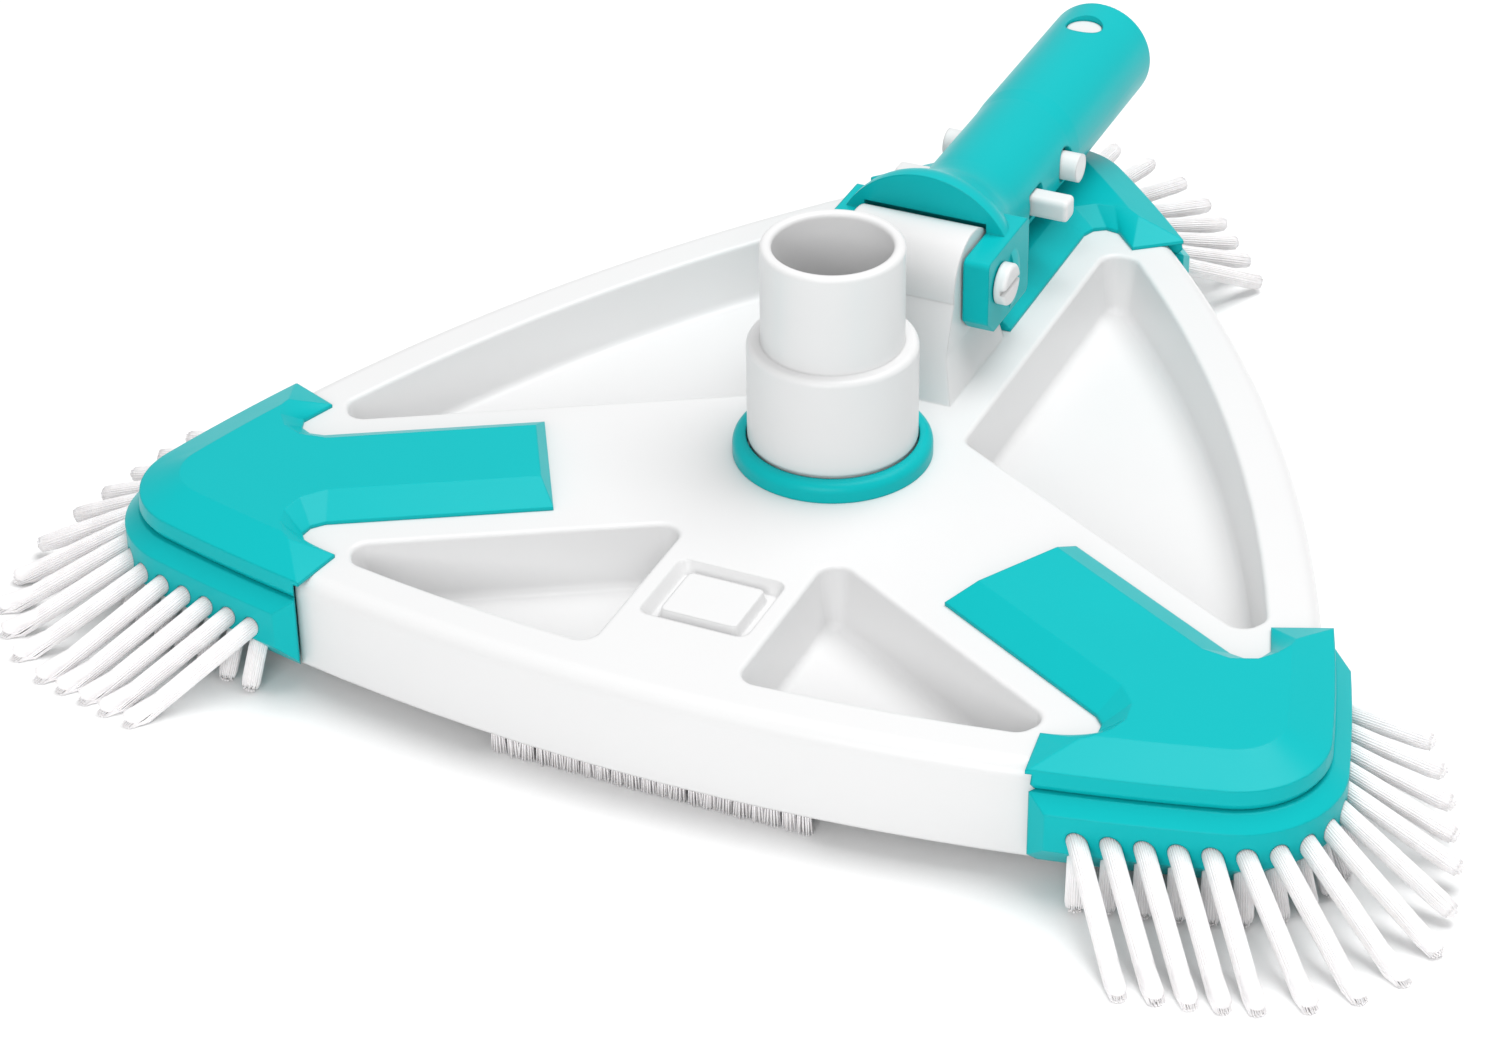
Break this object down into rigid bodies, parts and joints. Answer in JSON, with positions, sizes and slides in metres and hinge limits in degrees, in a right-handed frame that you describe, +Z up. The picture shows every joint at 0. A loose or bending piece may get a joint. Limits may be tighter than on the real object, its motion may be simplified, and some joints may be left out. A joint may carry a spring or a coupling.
{
  "type": "manual vacuum head",
  "caption": "Triangular pool vacuum head with corner brushes, stepped swivel hose connector and hinged pole handle.",
  "frame": {"origin": "on the hose connector's axis, level with the deck (top face of the shell)", "axes": "+Z up along the hose connector, +Y towards the handle's free end, +X to the right with the handle pointing away"},
  "size_m": [0.336, 0.3088, 0.081],
  "materials": {
    "teal_plastic": "moulded gloss",
    "white_plastic": "moulded gloss",
    "nylon": "drawn nylon filament",
    "rubber": "moulded",
    "steel": "plain"
  },
  "bodies": {
    "head": {"body_shell": "white_plastic", "cap_rear": "teal_plastic", "holder_rear": "teal_plastic", "bristles_rear": "nylon", "cap_left": "teal_plastic", "holder_left": "teal_plastic", "bristles_left": "nylon", "cap_right": "teal_plastic", "holder_right": "teal_plastic", "bristles_right": "nylon", "strip_base_front": "white_plastic", "strip_bristles_front": "nylon", "strip_base_right_side": "white_plastic", "strip_bristles_right_side": "nylon", "strip_base_left_side": "white_plastic", "strip_bristles_left_side": "nylon", "connector_collar": "teal_plastic", "pivot_bolt": "white_plastic", "pivot_nut": "white_plastic", "cap_screws": "steel"},
    "connector": {"hose_connector": "white_plastic", "connector_o_ring": "rubber"},
    "pole_handle": {"handle": "teal_plastic", "clip_bend": "white_plastic"},
    "left_leg": {"clip_leg_left": "white_plastic"},
    "right_leg": {"clip_leg_right": "white_plastic"}
  },
  "joints": [
    {"name": "hose_swivel", "type": "hinge", "parent": "head", "child": "connector", "pos_m": [0, 0, 0], "axis": [0, 0, 1], "continuous": true},
    {"name": "handle_pivot", "type": "hinge", "parent": "head", "child": "pole_handle", "pos_m": [0, 0.0465, 0.023], "axis": [1, 0, 0], "range_deg": [0, 100]},
    {"name": "left_squeeze", "type": "hinge", "parent": "pole_handle", "child": "left_leg", "pos_m": [-0.00885, 0.1543, 0.02], "axis": [0, 0, 1], "range_deg": [0, 5], "stiffness_Nm_per_rad": 1.2},
    {"name": "right_squeeze", "type": "hinge", "parent": "pole_handle", "child": "right_leg", "pos_m": [0.00885, 0.1543, 0.02], "axis": [0, 0, -1], "range_deg": [0, 5], "stiffness_Nm_per_rad": 1.2}
  ]
}
